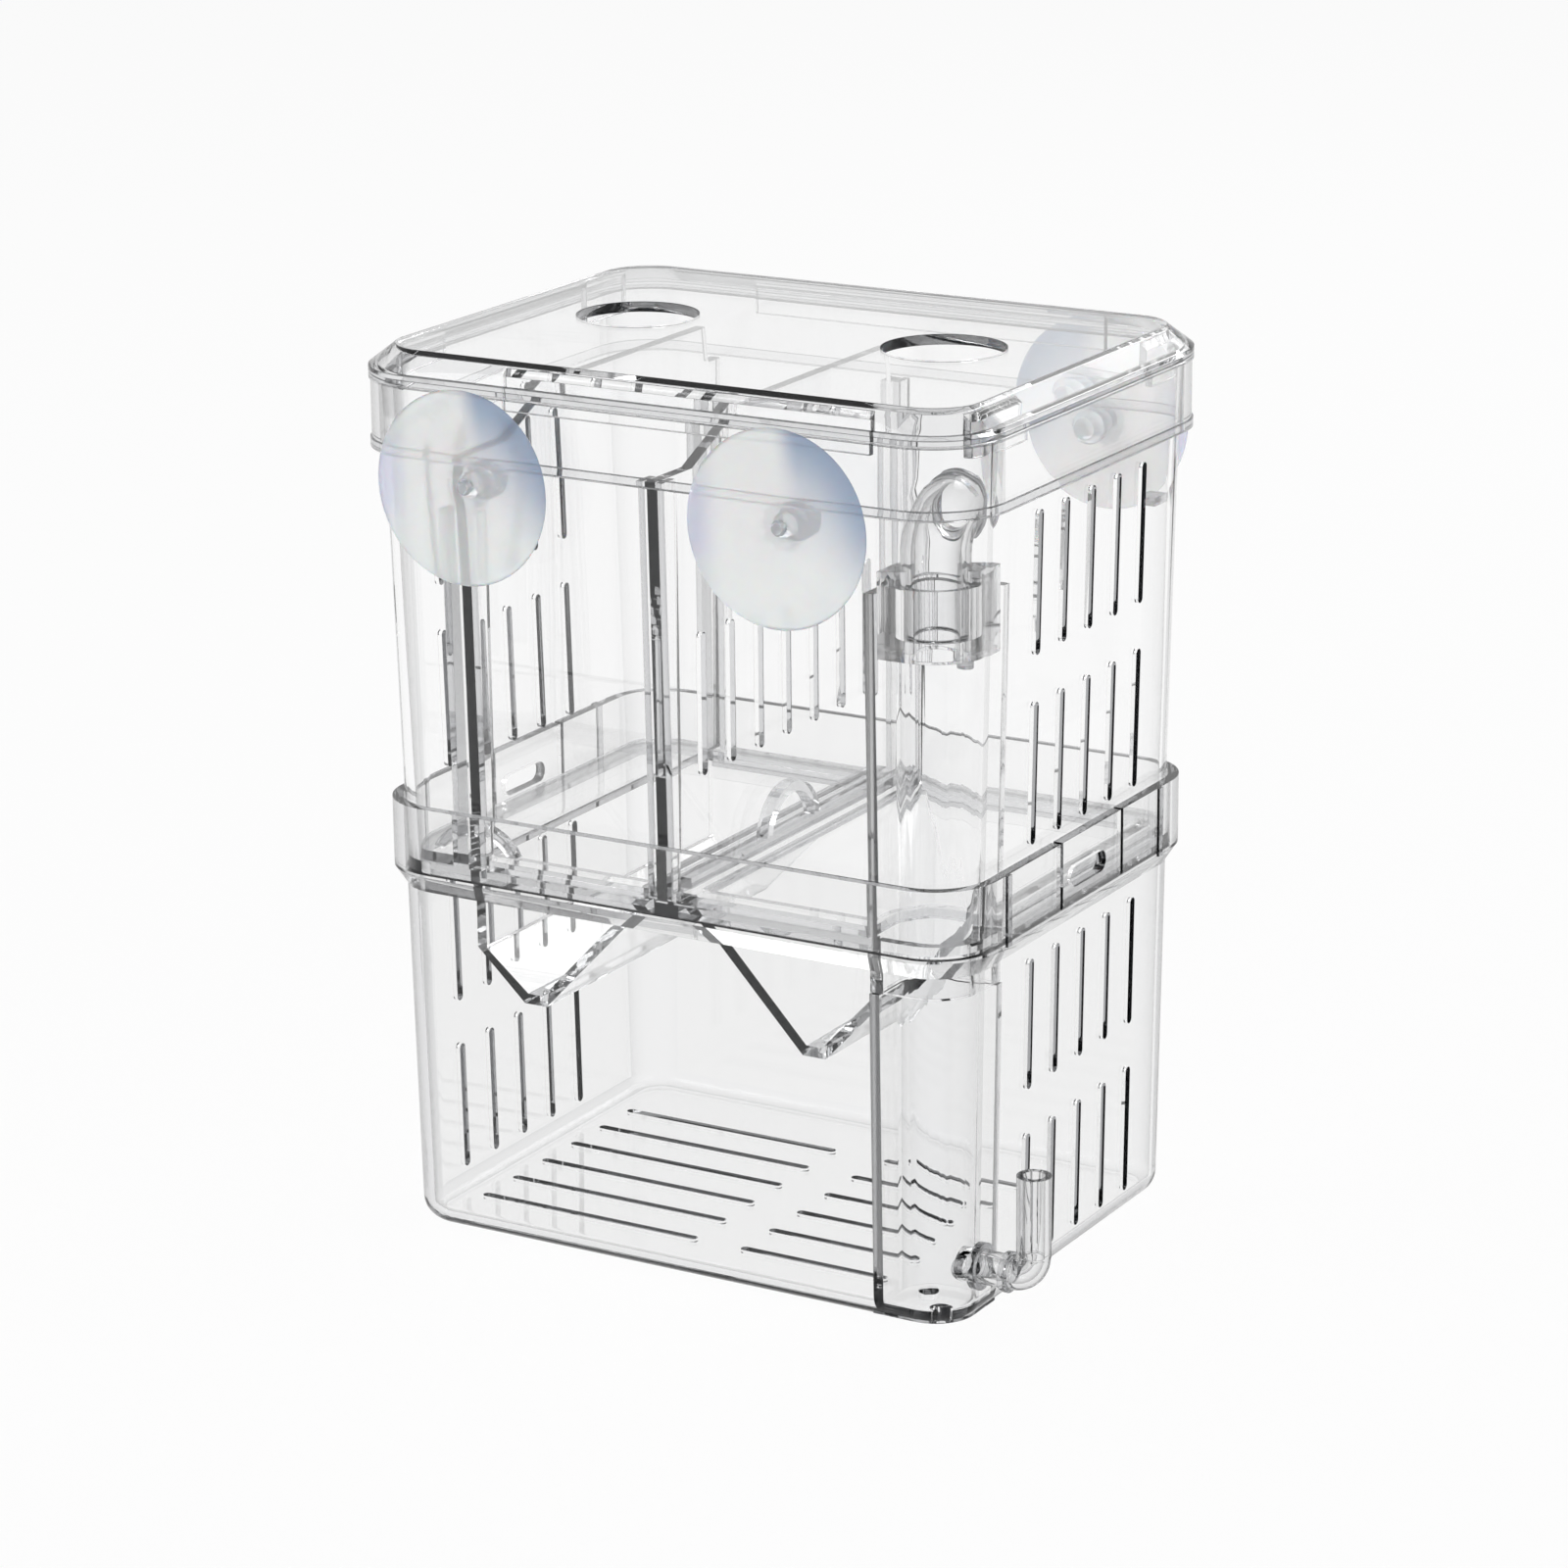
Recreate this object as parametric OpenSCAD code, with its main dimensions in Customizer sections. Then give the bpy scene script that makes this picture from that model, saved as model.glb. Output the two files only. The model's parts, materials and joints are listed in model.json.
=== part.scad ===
// Two-storey hang-in breeding box for an aquarium: a slotted fry tank below, a slotted
// box above it, a lid, two V-bottomed trays, two dividers, an air-lift column in one
// corner and three suction cups. The origin is the centre of the tank's underside.

/* [Plan] */
// Half the distance between corner centres, along X
core_x = 50.8; // [45:0.2:70]
// Half the distance between corner centres, along Y
core_y = 35.2; // [32:0.2:50]
// Wall thickness of the moulded shells
wall = 2; // [1.6:0.1:2.4]

/* [Tank] */
// How much wider the tank's shoulder is than the foot of the box, on each side
shoulder_step = 0.3; // [0.1:0.05:0.7]
// How much the tank narrows from its shoulder to its floor, on each side
tank_draft = 1.2; // [0.8:0.1:1.6]
// Height of the tank's shoulder, where the collar begins
shoulder_z = 67.6; // [62:0.2:80]
// Thickness of the tank's floor
floor_t = 2; // [1.6:0.1:3]
// Radius of the tank's bottom edge
foot_fillet = 4.5; // [3:0.1:6]
// Height of the collar's flare
flare_h = 3.6; // [3:0.1:5]
// Height of the collar above its flare
collar_h = 13.3; // [11:0.1:18]
// Radial gap between the collar and the box inside it, at the rim
collar_gap = 0.35; // [0.3:0.05:0.6]

/* [Snap tongues] */
// Front cut of the tongue in each side of the collar, along Y
tongue_front_y = -10; // [-14:0.2:-6]
// Back cut of the tongue, along Y
tongue_back_y = 14.2; // [10:0.2:18]
// Width of the cuts
cut_w = 1; // [0.8:0.1:1.6]
// Length of the round-ended window in the tongue
window_l = 14; // [10:0.5:15]
// Height of the window
window_h = 4; // [3:0.1:5]
// Height of the window's middle above the collar's flare
window_z = 5.6; // [4.6:0.1:7]

/* [Guide ribs] */
// How far the front rib of each collar side stands in from the corners' centres
guide_in_front = 4.2; // [3:0.1:6]
// How far the back rib stands in from the corners' centres
guide_in_back = 5.5; // [4:0.1:7]
// Width of a guide rib
guide_w = 1.6; // [1.2:0.1:2.4]
// How far a guide rib stands out of the collar
guide_t = 0.5; // [0.3:0.1:0.8]

/* [Box] */
// Outer corner radius at the foot of the box
box_foot_r = 9.7; // [9.2:0.1:10.4]
// How much the box widens from its foot to its rim, on each side
box_draft = 2.2; // [1.4:0.1:3]
// Height of the box from its underside to its rim
box_h = 92.8; // [80:0.2:110]
// Width of the ledge that carries the trays
ledge_w = 2.5; // [2:0.1:3.5]
// Thickness of the ledge
ledge_t = 1.8; // [1.4:0.1:2.4]

/* [Slots] */
// Width of every water slot
slot_w = 1.8; // [1.2:0.1:2.4]
// Height of the slots in the box
slot_h = 26.6; // [18:0.2:30]
// Height of the box's lower slots above its underside
box_slot_z = 14.6; // [12:0.2:17]
// Height of the solid band between two rows of slots
slot_band = 8.8; // [6:0.2:14]
// Distance between slots
slot_pitch = 10.2; // [7:0.1:11]
// Number of slots in a row on each side wall
slot_n = 5; // [3:1:5]
// Middle of the slot rows on the left wall, along Y
slot_y_left = -4.4; // [-6:0.2:3]
// Middle of the slot rows on the right wall, along Y
slot_y_right = 3.4; // [0:0.2:6]
// Height of the lowest row of slots above the floor
slot_lift = 3.4; // [3:0.2:8]
// Number of slot rows in the floor
floor_slot_n = 6; // [3:1:6]
// Length of the floor slots on the left
floor_slot_l = 48; // [30:1:50]
// Length of the floor slots on the right
floor_slot_r = 30; // [20:1:32]

/* [Air column] */
// Inner width of the column, along X, at the foot of the box
column_w = 14.4; // [13:0.2:17]
// Inner depth of the column, along Y, at the foot of the box
column_d = 13.9; // [13:0.2:17]
// Height of the column's open top above the foot of the box
column_h = 65.4; // [50:0.2:70]
// Length of the column's spigot below the box
spigot_l = 8.5; // [6:0.1:12]
// Wall thickness of the spigot
spigot_wall = 1.8; // [1.4:0.1:2]
// Outer radius of the column's corner
column_r = 8; // [5:0.2:9]
// Thickness of the floor under the column
column_floor_t = 3.3; // [2.6:0.1:5]
// Radius of the water holes under the column
water_hole_r = 2; // [1:0.1:2.4]

/* [Plug and outlet] */
// Height of the plug
plug_h = 13.2; // [10:0.2:18]
// How far the plug stands above the column
plug_proud = 1.4; // [0.8:0.1:2.4]
// Gap around the plug
plug_gap = 0.3; // [0.2:0.05:0.5]
// Outer radius of the outlet tube
outlet_r = 6; // [4:0.1:6.2]
// Wall thickness of the outlet tube
outlet_wall = 1.6; // [1.2:0.1:2]
// Depth of the outlet tube in the plug
outlet_seat = 9.5; // [6:0.5:12]
// Height of the outlet's straight part above the plug
outlet_rise = 5; // [3:0.2:8]
// Bend radius of the outlet, on its centre line
outlet_bend = 7; // [6.8:0.1:9]
// Width of the lip round the outlet's mouth
mouth_lip = 0.6; // [0.3:0.1:1]
// Radial running clearance of the turning joints
run_gap = 0.05; // [0.02:0.01:0.09]

/* [Air inlet] */
// Outer radius of the inlet pipe
inlet_r = 3.2; // [2.4:0.1:3.4]
// Bore radius of the inlet pipe
inlet_bore_r = 2; // [1.2:0.1:2.2]
// Height of the inlet above the underside
inlet_z = 11.5; // [9:0.5:20]
// Distance from the wall to the upright spigot
inlet_reach = 11.7; // [10:0.1:16]
// Height of the upright spigot above the inlet's centre line
inlet_h = 19.5; // [16:0.5:30]
// Bend radius of the inlet, on its centre line
inlet_bend = 4; // [3.6:0.1:6]

/* [Trays] */
// Depth of the troughs below the tray's flange
trough_depth = 26; // [18:0.5:32]
// Thickness of the flange
flange_t = 2; // [1.6:0.1:2.6]
// Wall thickness of the trough
trough_t = 2; // [1.6:0.1:2.4]
// Height of the raised rib along the inner edge of a tray
rib_h = 2; // [1:0.1:3]
// Width of that rib
rib_w = 2.4; // [1.6:0.1:3]
// Width of the flat at the bottom of the trough
apex_w = 4.8; // [4:0.1:6]
// Width of the flat edge between a trough and the centre divider
trough_edge = 1.2; // [0.9:0.1:2]
// Gap between a tray and the centre divider
divider_side_gap = 0.6; // [0.4:0.1:0.9]
// Distance from the left trough's upright side to the middle of its bottom
left_apex_in = 12.6; // [10:0.2:15]
// How far the left trough's upright side stands outside the left divider
left_side_step = 1.2; // [1:0.1:1.6]
// Width of the drop slit in the trough
slit_w = 2; // [1:0.1:2.2]
// Height of the upright side of the left trough
left_side_h = 16.5; // [10:0.5:20]
// Gap around each tray
tray_gap = 0.35; // [0.25:0.05:0.6]
// Outer radius of the lifting handle
handle_r = 10; // [8:0.5:14]

/* [Dividers] */
// Thickness of the dividers
divider_t = 2.2; // [1.6:0.1:2.6]
// Middle of the centre divider, along X
divider_x = -0.8; // [-3:0.1:3]
// Middle of the left divider, along X
left_divider_x = -41.3; // [-43:0.1:-38]
// Height of the dividers' low front corner above the ledge
divider_low_h = 78.8; // [60:0.2:80]
// Extra height of the dividers' middle
divider_rise = 7; // [0:0.2:7]
// Gap on each side of a divider in its channel
divider_gap = 0.25; // [0.2:0.05:0.4]
// Thickness of the channel rails
rail_t = 1.3; // [1:0.1:2]
// Thickness of the rail outside the left divider
left_rail_t = 3.4; // [1:0.1:4]
// Where the dividers' high middle begins, along Y
high_from_y = -17; // [-20:0.5:0]
// Where the dividers' low front corner ends, along Y
low_from_y = -32; // [-36:0.5:-24]
// Height of the divider slots
divider_slot_h = 27; // [18:0.5:30]
// Height of the divider slots above the ledge
divider_slot_z = 20.7; // [16:0.5:26]
// Number of divider slots
divider_slot_n = 7; // [3:1:7]

/* [Lid] */
// Height of the lid's skirt below its seat
skirt_h = 12.8; // [8:0.2:13]
// Thickness of the skirt
skirt_t = 1.5; // [1.2:0.1:2]
// How far the band and the bead stand out from the skirt
band_step = 0.3; // [0.2:0.1:0.8]
// Gap between the skirt and the rim of the box
skirt_gap = 0.5; // [0.4:0.05:0.7]
// Height of the band above the seat
band_h = 2.4; // [1.8:0.1:3]
// Height of the sloping shoulder
lid_slope_h = 3.8; // [3:0.1:5]
// Width of the sloping shoulder
lid_slope_w = 5; // [4:0.1:6]
// Thickness of the lid's top plate
lid_t = 2; // [1.6:0.1:2.6]
// Radius of the feeding holes
feed_r = 11.5; // [8:0.5:13]
// Distance of the feeding holes from the middle, along X
feed_x = 32.5; // [26:0.5:36]
// Left end of the long locating lips on the front and back walls, along X
lip_left_x = -31.5; // [-40:0.5:-10]
// Right end of the long locating lips, along X
lip_right_x = 44; // [10:0.5:45]
// Inner end of the side lips near the front, along Y
lip_front_y = -22.7; // [-30:0.1:-12]
// Inner end of the side lips near the back, along Y
lip_back_y = 26; // [12:0.5:32]
// Depth of the locating lip inside the rim
lip_h = 2.6; // [1.6:0.1:4]

/* [Suction cups] */
// Radius of the cup's rim
cup_r = 18; // [14:0.5:19]
// Depth of the cup's dish
cup_depth = 3.6; // [2.6:0.1:5]
// Thickness of the cup at its hub
cup_t = 1.5; // [1:0.1:2.4]
// Radius of the cup's neck, which passes through the wall
neck_r = 2.4; // [1.6:0.1:2.6]
// Radius of the mushroom head inside the wall
head_r = 3.4; // [3.2:0.1:4]
// Distance from the rim of the box down to the cups
cup_drop = 15.7; // [15.6:0.1:20]
// Place of the left cup on the front wall, along X
front_cup_left_x = -35.8; // [-38:0.2:-30]
// Place of the right cup on the front wall, along X
front_cup_right_x = 29.5; // [20:0.5:31]
// Place of the cup on the back wall, along X
back_cup_x = 38.7; // [30:0.1:44]

/* [Hidden] */
$fn = 64;

eps = 0.01;
tube_stop = 0.1;
far = 200;
seat_gap = 0.2;
rest_gap = 0.15;
clear_tint = [0.86, 0.9, 0.92, 0.45];
milky = [0.86, 0.89, 0.94, 0.8];

// Corner radii that follow from the foot of the box
box_rim_r = box_foot_r + box_draft;
tank_top_r = box_foot_r + shoulder_step;
tank_foot_r = tank_top_r - tank_draft;

// Heights, from the underside up
collar_z = shoulder_z + flare_h;
rim_z = collar_z + collar_h;
box_z = collar_z + seat_gap;
ledge_z = box_z + ledge_t;
box_top = box_z + box_h;
column_top = box_z + column_h;
spigot_z = box_z - spigot_l;
flange_z = ledge_z + seat_gap;
flange_top = flange_z + flange_t;
lid_seat = box_top + seat_gap;
lid_top = lid_seat + band_h + lid_slope_h;
cup_z = box_top - cup_drop;

// Radii of the box and the collar at each height
function box_r(z) = box_foot_r + (box_rim_r - box_foot_r) * (z - box_z) / box_h;
function tank_r(z) = tank_foot_r + (tank_top_r - tank_foot_r) * z / shoulder_z;
collar_in_r = box_r(rim_z) + collar_gap;
collar_out_r = collar_in_r + wall;
skirt_in_r = box_rim_r + skirt_gap;
skirt_out_r = skirt_in_r + skirt_t;
band_r = skirt_out_r + band_step;

// Column: its partition's outer faces, and the middle of its clear space
column_x = core_x + box_foot_r - wall - column_w - wall;
column_y = -(core_y + box_foot_r - wall - column_d - wall);
spigot_out_r = tank_r(spigot_z) - wall - collar_gap;
spigot_in_r = spigot_out_r - spigot_wall;
plug_z = column_top - plug_h + plug_proud;
plug_out_r = box_r(plug_z) - wall - plug_gap;
axis_x = (column_x + wall + core_x + plug_out_r) / 2;
axis_y = (column_y - wall - core_y - plug_out_r) / 2;
plug_top = plug_z + plug_h;
outlet_z = plug_top - outlet_seat;
bend_z = plug_top + outlet_rise;

// Middles of the two water holes under the column, from its axis
water_holes = [[-3.6, 3.4], [2.2, -2.8]];

// Trays: their plan limits and the lines of their troughs
flange_r = box_r(ledge_z) - wall - tray_gap;
trough_y = core_y + box_foot_r - wall - ledge_w - tray_gap;
left_in_x = divider_x - divider_t / 2 - divider_side_gap;
right_in_x = divider_x + divider_t / 2 + divider_side_gap;
trough_z = flange_z - trough_depth;
left_side_x = left_divider_x - divider_t / 2 - left_side_step;
left_apex_x = left_side_x + left_apex_in;
right_side_x = core_x + trough_y - core_y;
right_apex_x = (right_in_x + trough_edge + right_side_x) / 2;

// Inner line of a panel at about 45 degrees: how much further in it lies than the outer
// line at its top and at its foot, for each millimetre of thickness
top_in = 1.4;
foot_in = 0.4;

// Cross bar under the centre divider, which fills the room between the two troughs
bar_w = divider_t + 2 * (divider_side_gap + trough_edge - tray_gap);

// Tops of the rails that hold the dividers
rail_top = ledge_z + divider_low_h;
left_rail_top = cup_z - head_r - 3;

function slot_places(n, pitch, middle) = [for (i = [0 : n - 1]) middle + (i - (n - 1) / 2) * pitch];

// A rounded block on the common corner centres, from radius r0 below to r1 above
module block(z0, z1, r0, r1) {
    translate([0, 0, z0]) {
        for (x = [-core_x, core_x], y = [-core_y, core_y])
            translate([x, y, 0]) cylinder(h = z1 - z0, r1 = r0, r2 = r1);
        rotate([90, 0, 0]) linear_extrude(2 * core_y, center = true) taper(core_x, z1 - z0, r0, r1);
        rotate([90, 0, 90]) linear_extrude(2 * core_x, center = true) taper(core_y, z1 - z0, r0, r1);
    }
}

module taper(half, h, r0, r1) {
    polygon([[-half - r0, 0], [half + r0, 0], [half + r1, h], [-half - r1, h]]);
}

// A rounded block whose lower edge is rounded to radius f
module footed_block(z0, r, f) {
    translate([0, 0, z0]) {
        for (x = [-core_x, core_x], y = [-core_y, core_y])
            translate([x, y, 0]) rotate_extrude() foot_section(r, f);
        for (s = [0, 1]) mirror([s, 0, 0])
            translate([core_x, 0, 0]) rotate([90, 0, 0])
                linear_extrude(2 * core_y, center = true) foot_section(r, f);
        for (s = [0, 1]) mirror([0, s, 0])
            translate([0, core_y, 0]) rotate([90, 0, 90])
                linear_extrude(2 * core_x, center = true) foot_section(r, f);
        translate([-core_x, -core_y, 0]) cube([2 * core_x, 2 * core_y, f]);
    }
}

module foot_section(r, f) {
    square([r - f, f]);
    translate([r - f, f]) intersection() {
        circle(r = f);
        translate([0, -f]) square(f);
    }
}

// The column's plan, running out past the front and right walls
module column_plan(inset) {
    r = column_r - inset;
    x = column_x + inset;
    y = column_y - inset;
    translate([x, y - far]) square([far, far - r]);
    translate([x + r, y - far]) square([far, far]);
    translate([x + r, y - r]) circle(r = r);
}

module column_prism(z0, z1, inset) {
    translate([0, 0, z0]) linear_extrude(z1 - z0) column_plan(inset);
}

// The L-shaped wall that closes the column off
module partition(z0, z1) {
    difference() {
        column_prism(z0, z1, 0);
        column_prism(z0 - 1, z1 + 1, wall);
    }
}

// One upright slot with round ends, cut along X
module upright_slot(x, y, z, h) {
    translate([x, y, z]) rotate([0, 90, 0]) linear_extrude(4 * wall, center = true)
        translate([-h / 2, 0]) long_hole(h, slot_w);
}

module long_hole(l, w) {
    square([l - w, w], center = true);
    for (s = [-1, 1]) translate([s * (l - w) / 2, 0]) circle(d = w, $fn = 24);
}

// Two rows of slots on both side walls
module side_slots(z, h, x) {
    for (row = [0, 1]) {
        for (y = slot_places(slot_n, slot_pitch, slot_y_left))
            upright_slot(-x, y, z + row * (h + slot_band), h);
        for (y = slot_places(slot_n, slot_pitch, slot_y_right))
            upright_slot(x, y, z + row * (h + slot_band), h);
    }
}

module floor_slots() {
    left_x = -core_x - 0.7;
    right_x = 6.2;
    pitch = slot_pitch + 0.3;
    middle_y = -2.4;
    for (y = slot_places(floor_slot_n, pitch, middle_y)) {
        translate([left_x + floor_slot_l / 2, y, -1]) linear_extrude(floor_t + 2)
            long_hole(floor_slot_l, slot_w);
        translate([right_x + floor_slot_r / 2, y, -1]) linear_extrude(floor_t + 2)
            long_hole(floor_slot_r, slot_w);
    }
}

// Snap tongue in each side of the collar: two cuts and a round-ended window
module tongue_cuts() {
    cut_z = collar_z + 0.8;
    window_y = (tongue_front_y + tongue_back_y) / 2 - 1.4;
    for (y = [tongue_front_y, tongue_back_y])
        translate([-far / 2, y - cut_w / 2, cut_z]) cube([far, cut_w, collar_h]);
    translate([0, window_y, collar_z + window_z]) rotate([90, 0, 90])
        linear_extrude(far, center = true) long_hole(window_l, window_h);
}

module collar_ribs() {
    places = [-core_y + guide_in_front, core_y - guide_in_back];
    for (s = [0, 1]) mirror([s, 0, 0])
        for (y = places)
            translate([core_x + collar_out_r - guide_t, y - guide_w / 2, collar_z])
                cube([2 * guide_t, guide_w, collar_h]);
}

module tank_shape() {
    footed_block(0, tank_r(foot_fillet), foot_fillet);
    block(foot_fillet, shoulder_z, tank_r(foot_fillet), tank_top_r);
    block(shoulder_z, collar_z, tank_top_r, collar_out_r);
    block(collar_z, rim_z, collar_out_r, collar_out_r);
}

module tank_space() {
    inner_fillet = foot_fillet - wall;
    r0 = tank_r(foot_fillet) - wall;
    footed_block(floor_t, r0, inner_fillet);
    block(floor_t + inner_fillet, collar_z + 1, r0, tank_r(collar_z) - wall);
    block(collar_z, rim_z + 1, collar_in_r, collar_in_r);
}

module lower_tank() {
    half_w = core_x + tank_top_r - wall / 2;
    tank_slot_h = (shoulder_z - slot_band - 2 * slot_lift - floor_t) / 2;
    color(clear_tint) difference() {
        union() {
            difference() {
                tank_shape();
                tank_space();
            }
            intersection() {
                partition(floor_t, spigot_z - seat_gap);
                tank_shape();
            }
            intersection() {
                column_prism(0, column_floor_t, eps);
                block(1, column_floor_t, tank_r(0) - 1, tank_r(0) - 1);
            }
            collar_ribs();
        }
        side_slots(floor_t + slot_lift, tank_slot_h, half_w);
        floor_slots();
        tongue_cuts();
        for (p = water_holes)
            translate([axis_x + p[0], axis_y + p[1], -1]) cylinder(h = column_floor_t + 2, r = water_hole_r);
        translate([core_x, axis_y, inlet_z]) rotate([0, 90, 0])
            cylinder(h = far, r = inlet_r + run_gap);
    }
}

// Rails that hold a divider upright on the front and back walls
module rails(x, left_t, top) {
    reach = trough_y + tray_gap;
    for (s = [0, 1]) mirror([0, s, 0]) {
        translate([x - divider_t / 2 - divider_gap - left_t, reach, ledge_z - eps])
            cube([left_t, far, top - ledge_z]);
        translate([x + divider_t / 2 + divider_gap, reach, ledge_z - eps])
            cube([rail_t, far, top - ledge_z]);
    }
}

module box_rails() {
    rails(divider_x, rail_t, rail_top);
    rails(left_divider_x, left_rail_t, left_rail_top);
}

module box_shape() {
    block(box_z, box_top, box_foot_r, box_rim_r);
}

module box_space() {
    block(ledge_z, box_top + 1, box_r(ledge_z) - wall, box_r(box_top + 1) - wall);
}

module spigot() {
    difference() {
        intersection() {
            column_prism(spigot_z, box_z + 1, 0);
            block(spigot_z, box_z + 1, spigot_out_r, spigot_out_r);
        }
        intersection() {
            column_prism(spigot_z - 1, ledge_z + 1, wall);
            block(spigot_z - 1, ledge_z + 1, spigot_in_r, spigot_in_r);
        }
    }
}

// Small rest on the right wall, near the back corner
module corner_rest() {
    rest_l = 5;
    rest_t = 1.6;
    reach = 2;
    drop = 26;
    translate([core_x + box_foot_r - wall - reach, core_y - rest_l, box_top - drop])
        cube([far, rest_l, rest_t]);
}

module upper_box() {
    ledge_hole_r = box_foot_r - wall - ledge_w;
    half_w = core_x + (box_foot_r + box_rim_r) / 2 - wall / 2;
    color(clear_tint) difference() {
        union() {
            difference() {
                box_shape();
                box_space();
                difference() {
                    block(box_z - 1, ledge_z + 1, ledge_hole_r, ledge_hole_r);
                    translate([divider_x - bar_w / 2, -far / 2, box_z - 2]) cube([bar_w, far, far]);
                }
            }
            intersection() {
                union() {
                    partition(box_z, column_top);
                    box_rails();
                    corner_rest();
                }
                box_shape();
            }
            spigot();
        }
        intersection() {
            column_prism(spigot_z - 1, ledge_z + 1, wall);
            block(spigot_z - 1, ledge_z + 1, spigot_in_r, spigot_in_r);
        }
        side_slots(box_z + box_slot_z, slot_h, half_w);
        cup_hole(front_cup_left_x, 0);
        cup_hole(front_cup_right_x, 0);
        cup_hole(back_cup_x, 1);
    }
}

module cup_hole(x, back) {
    mirror([0, back, 0]) translate([x, -core_y, cup_z]) rotate([90, 0, 0])
        cylinder(h = far, r = neck_r + run_gap);
}

module lid_lip() {
    lip_t = 1.3;
    lip_gap = 0.25;
    lip_end_y = core_y + 3.8;
    out_r = box_r(box_top - lip_h) - wall - lip_gap;
    intersection() {
        difference() {
            block(box_top - lip_h, lid_top - lid_t, out_r, out_r);
            block(box_top - lip_h - 1, lid_top, out_r - lip_t, out_r - lip_t);
        }
        union() {
            for (s = [0, 1]) mirror([0, s, 0])
                translate([lip_left_x, -far, 0]) cube([lip_right_x - lip_left_x, far - core_y, far]);
            for (s = [0, 1]) mirror([s, 0, 0]) {
                translate([core_x, -lip_end_y, 0]) cube([far, lip_end_y + lip_front_y, far]);
                translate([core_x, lip_back_y, 0]) cube([far, lip_end_y - lip_back_y, far]);
            }
        }
    }
}

module lid_space() {
    seat_w = 0.7;
    seat_r = box_rim_r - seat_w;
    plate_r = band_r - lid_slope_w - 1.2;
    block(lid_seat - skirt_h - 1, lid_seat, skirt_in_r, skirt_in_r);
    block(lid_seat - 1, lid_seat + 1, seat_r, seat_r);
    block(lid_seat + 1, lid_top - lid_t, seat_r, plate_r);
}

module lid() {
    bead_h = 1.8;
    band_top = lid_seat + band_h;
    feed_y = 2;
    color(clear_tint) difference() {
        union() {
            difference() {
                union() {
                    block(lid_seat - skirt_h, lid_seat - skirt_h + bead_h, band_r, band_r);
                    block(lid_seat - skirt_h, lid_seat, skirt_out_r, skirt_out_r);
                    block(lid_seat, band_top, band_r, band_r);
                    block(band_top, lid_top, band_r, band_r - lid_slope_w);
                }
                lid_space();
            }
            lid_lip();
        }
        for (x = [-feed_x, feed_x])
            translate([x, feed_y, lid_seat]) cylinder(h = far, r = feed_r);
    }
}

module plug_plan(z0, z1) {
    intersection() {
        column_prism(z0, z1, wall + plug_gap);
        block(z0, z1, plug_out_r, plug_out_r);
    }
}

module column_plug() {
    lug_w = 6.4;
    lug_h = 2.6;
    lug_turn = 30;
    stop_r = 1.6;
    stop_h = 3;
    stop_at = [3.4, 4.6];
    color(clear_tint) difference() {
        union() {
            plug_plan(plug_z, plug_top);
            intersection() {
                plug_plan(plug_top - eps, plug_top + lug_h);
                translate([axis_x, axis_y, plug_top - 1]) rotate(lug_turn)
                    translate([-far / 2, -lug_w / 2, 0]) cube([far, lug_w, far]);
            }
            translate([axis_x + stop_at[0], axis_y + stop_at[1], plug_z - stop_h])
                cylinder(h = stop_h + 1, r = stop_r);
        }
        translate([axis_x, axis_y, outlet_z - rest_gap]) cylinder(h = far, r = outlet_r + run_gap);
        translate([axis_x, axis_y, plug_z - 1]) cylinder(h = far, r = outlet_r - outlet_wall);
    }
}

// Pipe that rises along Z, bends through a right angle and runs on along +Y
module elbow_pipe(r, rise, bend, run, over) {
    translate([0, 0, -over]) cylinder(h = rise + over, r = r);
    translate([0, bend, rise]) rotate([90, 0, -90]) rotate_extrude(angle = 90)
        translate([bend, 0]) circle(r = r);
    translate([0, bend, rise + bend]) rotate([-90, 0, 0]) cylinder(h = run + over, r = r);
}

module outlet_elbow() {
    run = 2.2;
    lip_l = 1.4;
    color(clear_tint) translate([axis_x, axis_y, 0]) difference() {
        union() {
            translate([0, 0, outlet_z]) elbow_pipe(outlet_r, bend_z - outlet_z, outlet_bend, run, 0);
            translate([0, outlet_bend + run - lip_l, bend_z + outlet_bend]) rotate([-90, 0, 0])
                cylinder(h = lip_l, r = outlet_r + mouth_lip);
        }
        translate([0, 0, outlet_z])
            elbow_pipe(outlet_r - outlet_wall, bend_z - outlet_z, outlet_bend, run, 1);
    }
}

module air_inlet_elbow() {
    wall_x = core_x + tank_r(inlet_z);
    inner_end = 3.2;
    straight = inner_end + inlet_reach - inlet_bend;
    flange_l = 1.4;
    flange_step = 1.2;
    ring_l = 1.2;
    ring_step = 0.6;
    ring_x = inlet_reach - inlet_bend - 0.4 - ring_l;
    color(clear_tint) translate([wall_x, axis_y, inlet_z]) difference() {
        union() {
            translate([-inner_end, 0, 0]) inlet_pipe(inlet_r, straight, 0);
            translate([seat_gap, 0, 0]) rotate([0, 90, 0]) cylinder(h = flange_l, r = inlet_r + flange_step);
            translate([ring_x, 0, 0]) rotate([0, 90, 0]) cylinder(h = ring_l, r = inlet_r + ring_step);
        }
        translate([-inner_end, 0, 0]) inlet_pipe(inlet_bore_r, straight, 1);
    }
}

// Pipe that runs along +X, bends through a right angle and rises along Z. The bend is a
// little slimmer than the spigot, and the step stops the airline tube.
module inlet_pipe(r, run, over) {
    translate([-over, 0, 0]) rotate([0, 90, 0]) cylinder(h = run + over, r = r);
    translate([run, 0, inlet_bend]) rotate([90, 0, 0]) rotate(-90) rotate_extrude(angle = 90)
        translate([inlet_bend, 0]) circle(r = r - tube_stop);
    translate([run + inlet_bend, 0, inlet_bend]) cylinder(h = inlet_h - inlet_bend + over, r = r);
}

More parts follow.
